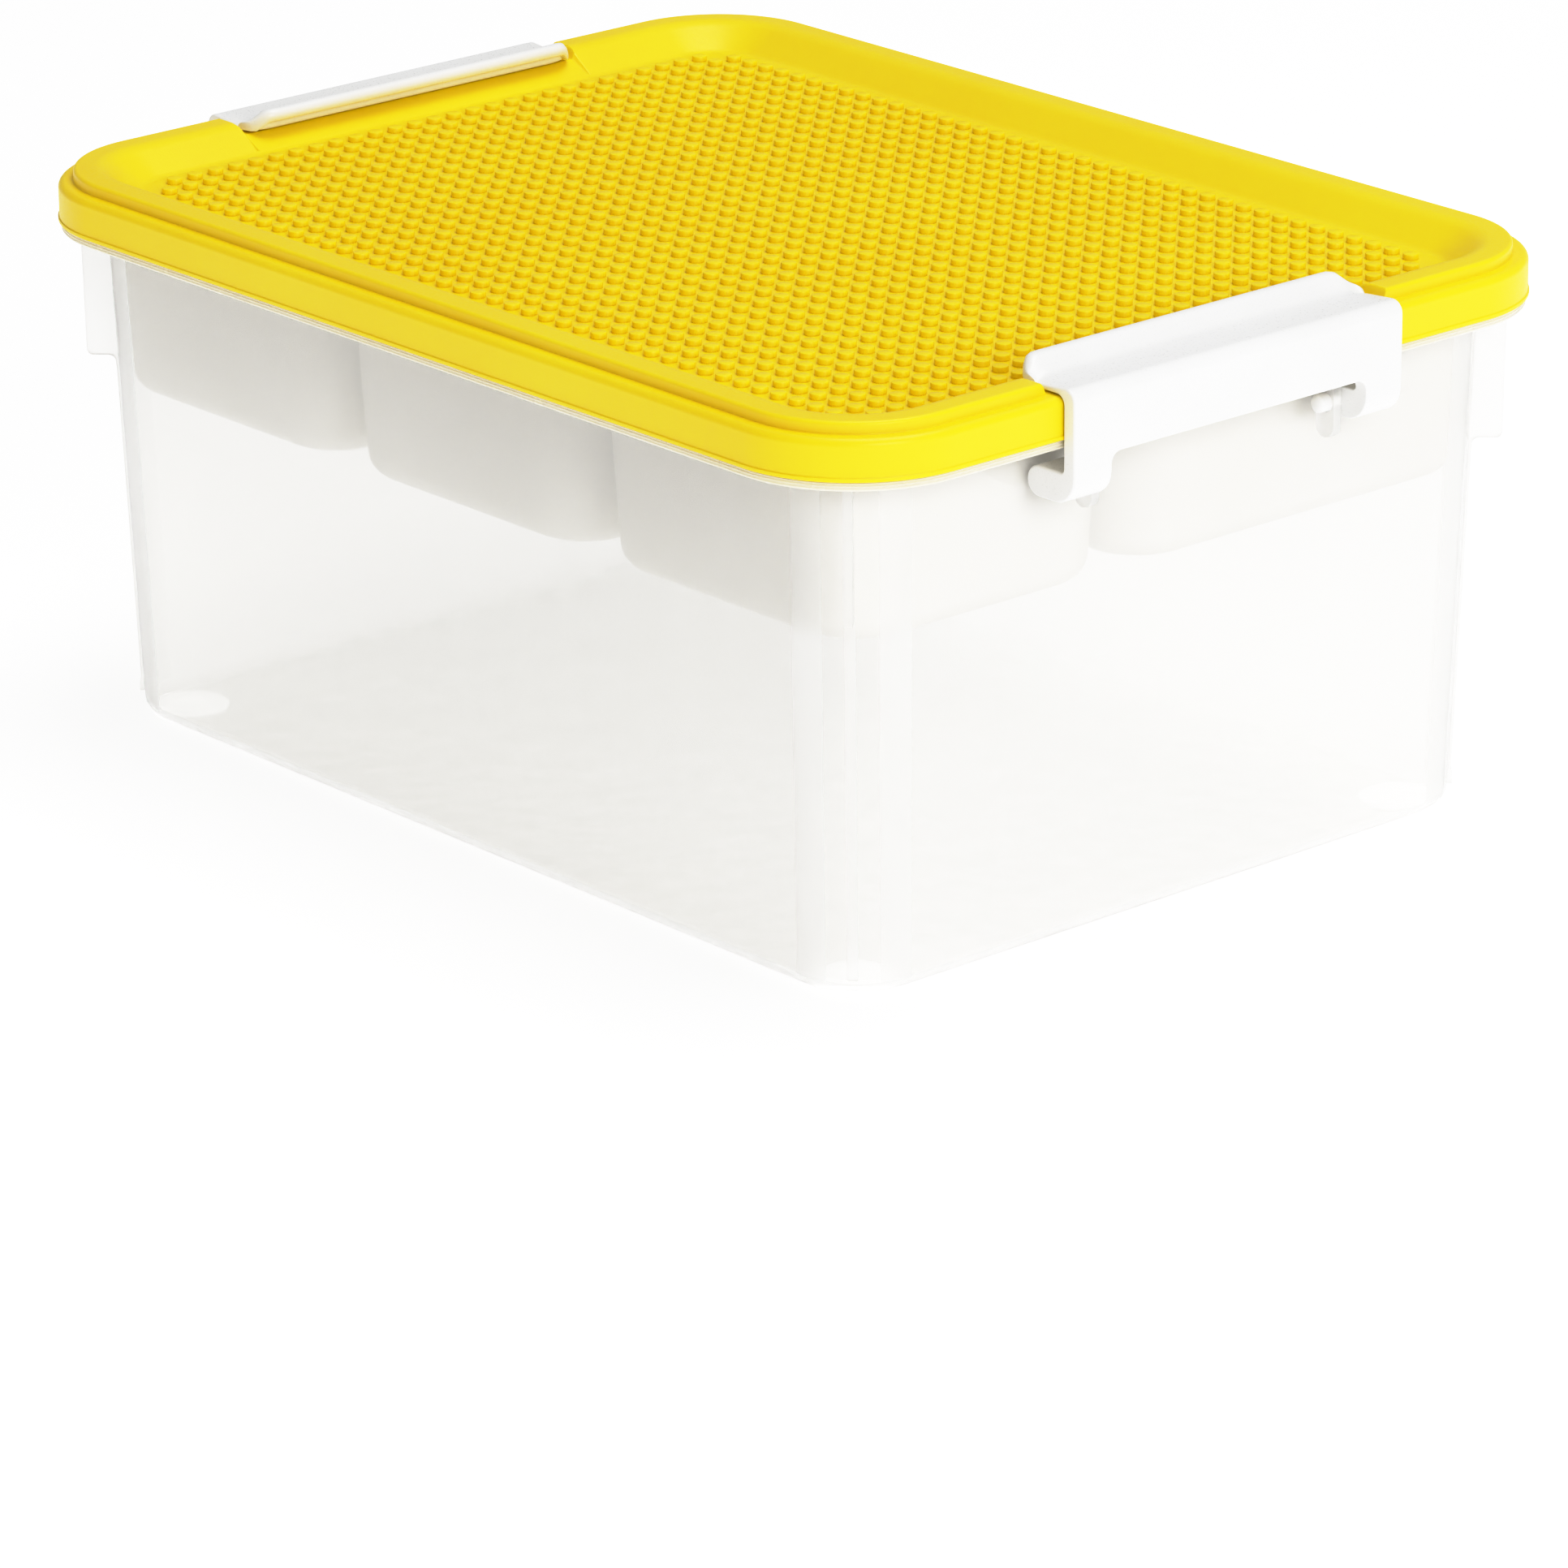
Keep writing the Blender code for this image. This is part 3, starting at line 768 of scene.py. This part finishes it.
def makeLegWindow():
    look = latchLook
    legInner = latchHigh.y - look["legWidth"]
    below = -2 * look["barRadius"]
    outline = roundedPath([
        (-legInner, below, 0),
        (legInner, below, 0),
        (legInner, look["panelEdge"], look["windowRadius"]),
        (-legInner, look["panelEdge"], look["windowRadius"]),
    ])
    shape = bmesh.new()
    depth = 2 * (latchHigh.x - latchLow.x)
    addPrism(shape, outline, depth, Matrix.Rotation(quarterTurn, 4, "Z"))
    return addObject("leg_window", finishMesh("leg_window", shape))


# Rounds the crisp edges that the window leaves round the legs and the panel
def roundWindowEdges(item):
    look, slack = latchLook, latchLook["windowEdge"] / 10
    reach, level = latchHigh.y - look["legWidth"] + slack, look["panelEdge"] + slack
    shape = bmesh.new()
    shape.from_mesh(item.data)
    crisp = math.radians(meshLook["sharpAngle"])
    chosen = [
        edge for edge in shape.edges
        if all(abs(vert.co.y) < reach and vert.co.z < level for vert in edge.verts)
        and edge.calc_face_angle(0) > crisp]
    bmesh.ops.bevel(
        shape, geom=chosen, affect="EDGES", offset_type="OFFSET",
        offset=look["windowEdge"], segments=look["edgeSteps"], profile=0.5)
    shape.to_mesh(item.data)
    shape.free()
    smoothMesh(item.data)


def makeHingePins():
    look = latchLook
    legInner = latchHigh.y - look["legWidth"]
    radius, dome = look["pinRadius"], look["pinDome"]
    profile = [(-meshLook["bite"], radius)]
    for step in range(look["endSteps"]):
        angle = quarterTurn * step / look["endSteps"]
        along = look["pinReach"] - dome * (1 - math.sin(angle))
        profile.append((along, radius * math.cos(angle)))
    shape = bmesh.new()
    for sign in (1, -1):
        place = Matrix.Translation((0, sign * legInner, 0))
        place = place @ Matrix.Rotation(sign * quarterTurn, 4, "X")
        addTurned(shape, profile, place)
    return addObject("hinge_pins", finishMesh("hinge_pins", shape))


def makeLatches(material):
    body, window, pins = makeLatchBody(), makeLegWindow(), makeHingePins()
    useTool(body, window, "DIFFERENCE")
    useTool(body, pins, "UNION")
    settle(body)
    roundWindowEdges(body)
    evenShading(body)
    for side, turn in (("right", 0), ("left", math.pi)):
        mesh = body.data.copy()
        place = Matrix.Rotation(turn, 4, "Z") @ Matrix.Translation((hingeX, 0, hingeZ))
        mesh.transform(place)
        latch = addObject("latch_" + side + "_clip", mesh, material)
        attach(latch, "latch_" + side + "_body")
        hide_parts("latch_" + side)
    dropTools(body, window, pins)


# Tub

tubLook = {
    "wall": 0.002,
    "flangeThickness": 0.0026,
    "wallInset": 0.015,         # from the flange's edge in to the wall
    "draft": 0.0295,
    "cornerRadius": 0.0245,
    "baseCornerRadius": 0.0235,
    "flangeCornerRadius": 0.0414,
    "baseEdgeRadius": 0.006,
    "footHeight": 0.0012,
    "footRadius": 0.013,
    "footReach": 0.0215,        # from a corner's middle out to the foot's far side
    "footBite": 0.003,
    "lineCount": 2,             # fine lines round the flange's edge
    "lineDepth": 0.0003,
    "lineHeight": 0.0005,       # levels of a line are given as shares of this
    "lineShares": (0.5, 1, 1.3, 1.8),
    "edgeRadius": 0.0004,
    "flangeFillet": 0.001,
    "finHeight": 0.043,
    "finThickness": 0.0026,
    "finTopReach": 0.0087,
    "finFootReach": 0.0098,
    "finCornerRadius": 0.002,
    "finFillet": 0.0022,
    "ribOverlap": 1.5,          # how many fillets the fin runs on down the rib
    "ribThickness": 0.0032,
    "frostStart": 20,           # degrees from a corner's diagonal to its frosted strips
    "frostRise": 0.00015,
    "frostStep": 0.003,         # half the turn over which a strip rises, in radians
    "frostEnd": 0.01,           # turn left plain where a strip meets the flat wall
    "ribReach": 0.0007,
    "nubReach": 0.0014,
    "nubHeight": 0.005,
    "tabThickness": 0.003,
    "tabGap": 0.0009,
    "tabWidth": 0.0074,
    "tabDrop": 0.0255,
    "tabRoundness": 0.98,       # share of its half width that rounds a tab's tip
    "tabSteps": 12,
    "holeRadius": 0.0031,
    "gateRingRadius": 0.02,
    "gateRingWidth": 0.0014,
    "gateRingHeight": 0.00012,
    "gateRadius": 0.0022,
    "gateTaper": 0.7,
    "lidGap": 0.0003,
}
flangeTop = lidLow.z - tubLook["lidGap"]
flangeBottom = flangeTop - tubLook["flangeThickness"]
tabMiddle = latchHigh.y - latchLook["legWidth"] - tubLook["tabGap"] - tubLook["tabThickness"] / 2


def wallAt(height, inset=0):
    look = tubLook
    below = flangeBottom - height
    shrink = (look["cornerRadius"] - look["baseCornerRadius"]) * below / flangeBottom
    narrow = look["wallInset"] + look["draft"] * below + inset
    return tubHigh.x - narrow, tubHigh.y - narrow, look["cornerRadius"] - shrink - inset


# The turns round a corner, with two close pairs where a frosted strip starts
def cornerTurns():
    steps, half = meshLook["cornerSteps"], tubLook["frostStep"]
    turns = [quarterTurn * step / steps for step in range(steps + 1)]
    for side in (-1, 1):
        start = math.radians(45 + side * tubLook["frostStart"])
        turns += [start - half, start + half]
    return sorted(turns)


# The wall's ring, with its frosted strips standing out by the given rise
def wallRing(height, inset=0, rise=0):
    halfX, halfY, radius = wallAt(height, inset)
    turns = cornerTurns()
    ring = roundedRing(halfX, halfY, radius, height, turns=turns)
    start = math.radians(tubLook["frostStart"])
    end = quarterTurn / 2 - tubLook["frostEnd"]
    for place, point in enumerate(ring):
        turn = turns[place % len(turns)]
        if rise and start < abs(turn - quarterTurn / 2) < end:
            across = math.copysign(halfX - radius, point.x)
            along = math.copysign(halfY - radius, point.y)
            point += (point - Vector((across, along, height))).normalized() * rise
    return ring


def flangeRing(inset, height):
    radius = tubLook["flangeCornerRadius"] - inset
    return roundedRing(tubHigh.x - inset, tubHigh.y - inset, radius, height, turns=cornerTurns())


# The rings of a rounded edge, from the flat bottom up into the wall
def bottomEdge(bottom, radius, ringAt):
    steps = meshLook["filletSteps"]
    rings = []
    for step in range(steps + 1):
        angle = quarterTurn * step / steps
        height = bottom + radius * (1 - math.cos(angle))
        rings.append(ringAt(height, radius * (1 - math.sin(angle))))
    return rings


def makeTubBody(plastics):
    look = tubLook
    wall, groove = look["wall"], look["lineDepth"]
    innerEdge = bottomEdge(
        look["footHeight"] + wall, look["baseEdgeRadius"] - wall,
        lambda height, inset: wallRing(height, inset + wall))
    rings = bottomEdge(look["footHeight"], look["baseEdgeRadius"], wallRing)
    edge, rise = look["edgeRadius"], look["frostRise"]
    rings += [wallRing(rings[-1][0].z + edge, 0, rise)]
    rings += [wallRing(flangeBottom - look["flangeFillet"], 0, rise), wallRing(flangeBottom, -edge)]
    rings += [flangeRing(edge, flangeBottom), flangeRing(0, flangeBottom + edge)]
    level = flangeBottom + edge
    for _ in range(look["lineCount"]):
        levels = [level + look["lineHeight"] * share for share in look["lineShares"]]
        rings += [
            flangeRing(0, levels[0]),
            flangeRing(groove, levels[1]),
            flangeRing(groove, levels[2]),
            flangeRing(0, levels[3]),
        ]
        level = levels[-1]
    rings += [flangeRing(0, flangeTop - edge / 2), flangeRing(edge, flangeTop)]
    rings += [wallRing(flangeTop, -edge), wallRing(flangeTop + edge)]
    rings += [wallRing(tubHigh.z - edge), wallRing(tubHigh.z, edge)]
    rings += [wallRing(tubHigh.z, wall - edge), wallRing(tubHigh.z - edge, wall)]
    rings += reversed(innerEdge)
    shape = bmesh.new()
    addLoft(shape, rings)
    shell = addObject("tub_body_shell", finishMesh("tub_body_shell", shape))
    for plastic in plastics:
        shell.data.materials.append(plastic)
    for face in shell.data.polygons:
        face.material_index = wallPlastic(face)
    return shell


# Which of the tub's plastics a face of the shell shows: 0 clear, 1 frosted, 2 flange
def wallPlastic(face):
    look, middle = tubLook, face.center
    if flangeBottom - look["lineDepth"] < middle.z < flangeTop + look["lineDepth"]:
        return 2
    halfX, halfY, radius = wallAt(middle.z)
    across, along = abs(middle.x) - halfX + radius, abs(middle.y) - halfY + radius
    inCorner = min(across, along) > 0 and middle.z > look["baseEdgeRadius"]
    outside = math.hypot(across, along) > radius - look["wall"] / 2
    offDiagonal = abs(math.degrees(math.atan2(along, across)) - 45)
    return int(inCorner and outside and offDiagonal > look["frostStart"])


# The flat outline of a fin and, below it, of the thin rib down to the base
def cornerLines():
    look, bite = tubLook, meshLook["bite"]
    halfX, halfY, radius = wallAt(flangeBottom)
    middle = Vector((halfX - radius, halfY - radius, 0))

    def face(height):
        lowX, lowY, lowRadius = wallAt(height)
        return lowRadius - (middle - Vector((lowX - lowRadius, lowY - lowRadius, 0))).length

    foot = flangeBottom - look["finHeight"]
    overlap = foot - look["finFillet"] * look["ribOverlap"]
    fin = roundedPath([
        (radius - bite, flangeBottom + bite, 0),
        (radius + look["finTopReach"], flangeBottom + bite, 0),
        (face(foot) + look["finFootReach"], foot, look["finCornerRadius"]),
        (face(foot) + look["ribReach"], foot, look["finFillet"]),
        (face(foot) + look["ribReach"], overlap, 0),
        (face(foot) - bite, overlap, 0),
    ])
    ribFoot = look["footHeight"] + look["baseEdgeRadius"]
    nubTop = ribFoot + look["nubHeight"]
    rib = [
        (face(foot) - bite, foot + bite),
        (face(foot) + look["ribReach"], foot + bite),
        (face(nubTop) + look["ribReach"], nubTop),
        (face(ribFoot) + look["nubReach"], ribFoot + look["nubHeight"] / 2),
        (face(ribFoot) + look["nubReach"], ribFoot),
        (face(ribFoot) - bite, ribFoot),
    ]
    return middle, fin, rib


def makeTubFittings(clear, frosted):
    look, bite = tubLook, meshLook["bite"]
    middle, fin, rib = cornerLines()
    fins, ribs, feet = bmesh.new(), bmesh.new(), bmesh.new()
    footX, footY, footCorner = wallAt(look["footHeight"])
    footOut = (look["footReach"] - look["footRadius"]) * math.sqrt(0.5) - footCorner
    tabTip = lidLow.z - look["tabDrop"]
    half = look["tabWidth"] / 2
    tipRadius = half * look["tabRoundness"]
    footRadius, edge = look["footRadius"], look["footHeight"] / 2
    for signX, signY in cornerSigns:
        place = Matrix.Translation((signX * middle.x, signY * middle.y, 0))
        place = place @ Matrix.Rotation(math.atan2(signY, signX), 4, "Z")
        addPrism(fins, fin, look["finThickness"], place)
        addPrism(ribs, rib, look["ribThickness"], place)
        tab = roundedPath([
            (-half, flangeBottom + bite, 0),
            (half, flangeBottom + bite, 0),
            (half, tabTip, tipRadius),
            (-half, tabTip, tipRadius),
        ], look["tabSteps"])
        place = Matrix.Translation((signX * hingeX, signY * tabMiddle, 0))
        addPrism(fins, tab, look["tabThickness"], place)
        profile = [
            (0, footRadius - edge),
            (edge / 3, footRadius - edge / 3),
            (edge, footRadius),
            (look["footBite"], footRadius),
        ]
        place = Matrix.Translation((signX * (footX + footOut), signY * (footY + footOut), 0))
        addTurned(feet, profile, place, meshLook["fineSides"])
    return [
        addObject("tub_fins", finishMesh("tub_fins", fins), frosted),
        addObject("tub_ribs", finishMesh("tub_ribs", ribs), frosted),
        addObject("tub_feet", finishMesh("tub_feet", feet), clear),
    ]


def makePinHoles():
    shape = bmesh.new()
    depth = tubLook["tabThickness"]
    for signX, signY in cornerSigns:
        place = Matrix.Translation((signX * hingeX, signY * tabMiddle, hingeZ))
        place = place @ Matrix.Rotation(quarterTurn, 4, "X")
        addTurned(shape, [(-depth, tubLook["holeRadius"]), (depth, tubLook["holeRadius"])], place)
    return addObject("pin_holes", finishMesh("pin_holes", shape))


# The round mark that the mould leaves inside the floor
def makeGateMark():
    look = tubLook
    floorTop = look["footHeight"] + look["wall"]
    shape = bmesh.new()
    half = look["gateRingWidth"] / 2
    rise = look["gateRingHeight"]
    outline = [(half, -rise), (half, rise / 2), (0, rise), (-half, rise / 2), (-half, -rise)]
    sides = meshLook["fineSides"]
    loops = []
    for side in range(sides):
        turn = Matrix.Rotation(2 * math.pi * side / sides, 3, "Z")
        loops.append([
            shape.verts.new(turn @ Vector((look["gateRingRadius"] + out, 0, floorTop + up)))
            for out, up in outline])
    for index, loop in enumerate(loops):
        after = loops[(index + 1) % sides]
        for place in range(len(outline)):
            beside = (place + 1) % len(outline)
            shape.faces.new((loop[place], loop[beside], after[beside], after[place]))
    nub = [
        (floorTop - rise, look["gateRadius"]),
        (floorTop + rise, look["gateRadius"]),
        (floorTop + rise * 2, look["gateRadius"] * look["gateTaper"]),
    ]
    addTurned(shape, nub, Matrix.Identity(4))
    return addObject("gate_mark", finishMesh("gate_mark", shape))


def makeTub(clear, frosted, flange):
    tub = makeTubBody((clear, frosted, flange))
    tub.name = "tub_shell"
    mark, holes = makeGateMark(), makePinHoles()
    mark.data.materials.append(clear)
    holes.data.materials.append(frosted)
    tools = makeTubFittings(clear, frosted) + [mark]
    for tool in tools:
        useTool(tub, tool, "UNION")
    useTool(tub, holes, "DIFFERENCE")
    settle(tub)
    evenShading(tub)
    dropTools(holes, *tools)
    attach(tub, "tub_body")
    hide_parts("tub")


# Organiser tray

trayLook = {
    "rimThickness": 0.0017,
    "rimCornerRadius": 0.0259,
    "wall": 0.0016,
    "wallGap": 0.0046,          # from the rim's edge in to the cups
    "cupGap": 0.002,
    "cupDraft": 0.045,
    "cornerRadius": 0.020,
    "edgeRadius": 0.007,
    "rowSplit": -0.021,
    "columns": 3,
    "cornerSteps": 12,
    "lipWidth": 0.0005,         # soft edge round the rim and the cups' mouths
    "lipSteps": 3,
    "lipAngle": 50,
}


def cupPlaces():
    look = trayLook
    halfX, halfY = trayHigh.x - look["wallGap"], trayHigh.y - look["wallGap"]
    width = 2 * halfX / look["columns"]
    columns = [(width * (column + 0.5) - halfX, (width - look["cupGap"]) / 2)
               for column in range(look["columns"])]
    rows = [((low + high) / 2, (high - low - look["cupGap"]) / 2)
            for low, high in ((-halfY, look["rowSplit"]), (look["rowSplit"], halfY))]
    return [(column, row) for column in columns for row in rows]


def addCup(shape, column, row, inset, bottom, top):
    look = trayLook

    def ringAt(height, inward):
        taper = look["cupDraft"] * (trayHigh.z - height) + inset + inward
        radius = look["cornerRadius"] - inset - inward
        ring = roundedRing(
            column[1] - taper, row[1] - taper, radius, height, steps=look["cornerSteps"])
        return [point + Vector((column[0], row[0], 0)) for point in ring]

    rings = bottomEdge(bottom, look["edgeRadius"] - inset, ringAt)
    rings.append(ringAt(top, 0))
    addLoft(shape, rings)


def makeTray(material):
    look = trayLook
    wall, rim = look["wall"], look["rimThickness"]
    shape, outsides, insides = bmesh.new(), bmesh.new(), bmesh.new()
    radius = look["rimCornerRadius"]
    addLoft(shape, [roundedRing(trayHigh.x, trayHigh.y, radius, height)
                    for height in (trayHigh.z - rim, trayHigh.z)])
    for column, row in cupPlaces():
        addCup(outsides, column, row, 0, trayLow.z, trayHigh.z - rim / 2)
        addCup(insides, column, row, wall, trayLow.z + wall, trayHigh.z + rim)
    tray = addObject("tray_cups", finishMesh("tray_cups", shape), material)
    outer = addObject("cup_outsides", finishMesh("cup_outsides", outsides))
    inner = addObject("cup_insides", finishMesh("cup_insides", insides))
    useTool(tray, outer, "UNION")
    useTool(tray, inner, "DIFFERENCE")
    settle(tray)
    softenEdges(tray, look["lipWidth"], look["lipSteps"], look["lipAngle"])
    settle(tray)
    evenShading(tray)
    dropTools(outer, inner)
    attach(tray, "tray_body")
    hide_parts("organiser_tray")


# Camera, floor and lights

viewLook = {
    "place": (1.7674, -1.5368, 0.8544),
    "turn": 49.0,              # degrees to the left of straight along +Y
    "down": 20.246,
    "roll": -0.493,
    "lens": 182.4,
    "sensor": 36,
    "farClip": 100,
}
studioLook = {
    "floorSize": 12,
    "floorColour": (0.88, 0.88, 0.88),
    "floorShine": 0.1,
    "floorRoughness": (0.85, 0.95),
    "floorGrain": 0.004,
    "floorGlow": 0.61,          # the floor is lit from below like a light table
    "skyStrength": 0.4,
    "lamps": {                  # place, width and watts of each square lamp
        "key": ((2.75, -0.75, 1.3), 1.2, 33),
        "top": ((0.3, 0.4, 2.6), 1.6, 38),
        "side": ((2.9, 0.7, 0.7), 1.2, 4),
    },
    "lampAim": (0, 0, 0.1),
    "tones": [                  # how bright a place is, and how bright it is shown
        (0.06, 0.035), (0.3, 0.235), (0.55, 0.5), (0.8, 0.78),
        (1.0, 0.9), (1.2, 0.965), (1.42, 1),
    ],
}


def makeCamera():
    look = viewLook
    data = bpy.data.cameras.new("view")
    data.lens = look["lens"]
    data.sensor_width = look["sensor"]
    data.clip_end = look["farClip"]
    camera = bpy.data.objects.new("view", data)
    bpy.context.scene.collection.objects.link(camera)
    turn = Matrix.Rotation(math.radians(look["turn"]), 4, "Z")
    tilt = Matrix.Rotation(math.radians(90 - look["down"]), 4, "X")
    roll = Matrix.Rotation(math.radians(look["roll"]), 4, "Z")
    camera.matrix_world = Matrix.Translation(look["place"]) @ turn @ tilt @ roll
    bpy.context.scene.camera = camera


def makeFloor():
    look = studioLook
    shape = bmesh.new()
    bmesh.ops.create_grid(shape, x_segments=1, y_segments=1, size=look["floorSize"] / 2)
    floor = addObject("floor", finishMesh("floor", shape))
    recipe = Recipe("floor_paper", look["floorColour"], look["floorShine"])
    recipe.varyRoughness(recipe.noise(look["floorGrain"]), *look["floorRoughness"])
    recipe.shader.inputs["Emission Color"].default_value = (1, 1, 1, 1)
    recipe.shader.inputs["Emission Strength"].default_value = look["floorGlow"]
    floor.data.materials.append(recipe.material)


def makeLamp(name, place, width, power):
    data = bpy.data.lights.new(name, "AREA")
    data.shape = "SQUARE"
    data.size = width
    data.energy = power
    lamp = bpy.data.objects.new(name, data)
    bpy.context.scene.collection.objects.link(lamp)
    lamp.location = place
    sight = Vector(studioLook["lampAim"]) - Vector(place)
    lamp.rotation_euler = sight.to_track_quat("-Z", "Y").to_euler()


def makeStudio():
    look = studioLook
    scene = bpy.context.scene
    world = bpy.data.worlds.new("studio")
    world.use_nodes = True
    sky = world.node_tree.nodes["Background"]
    sky.inputs["Color"].default_value = (1, 1, 1, 1)
    sky.inputs["Strength"].default_value = look["skyStrength"]
    scene.world = world
    scene.view_settings.view_transform = "Standard"
    scene.view_settings.use_curve_mapping = True
    tones = scene.view_settings.curve_mapping
    tones.clip_max_x = look["tones"][-1][0]
    shades = tones.curves[3]
    shades.points[1].location = look["tones"][-1]
    for bright, shown in look["tones"][:-1]:
        shades.points.new(bright, shown)
    for point in shades.points:
        point.handle_type = "AUTO_CLAMPED"
    tones.update()
    for name, (place, width, power) in look["lamps"].items():
        makeLamp(name, place, width, power)


makeCamera()
makeFloor()
makeStudio()
print("studio ready")
yellow = makeLidPlastic()
makeLid(yellow)
makeStuds(yellow)
print("lid ready")
makeLatches(makeLatchPlastic())
print("latches ready")
makeTub(makeTubPlastic("clear"), makeTubPlastic("frosted"), makeFlangePlastic())
print("tub ready")
makeTray(makeTrayPlastic())
print("tray ready")
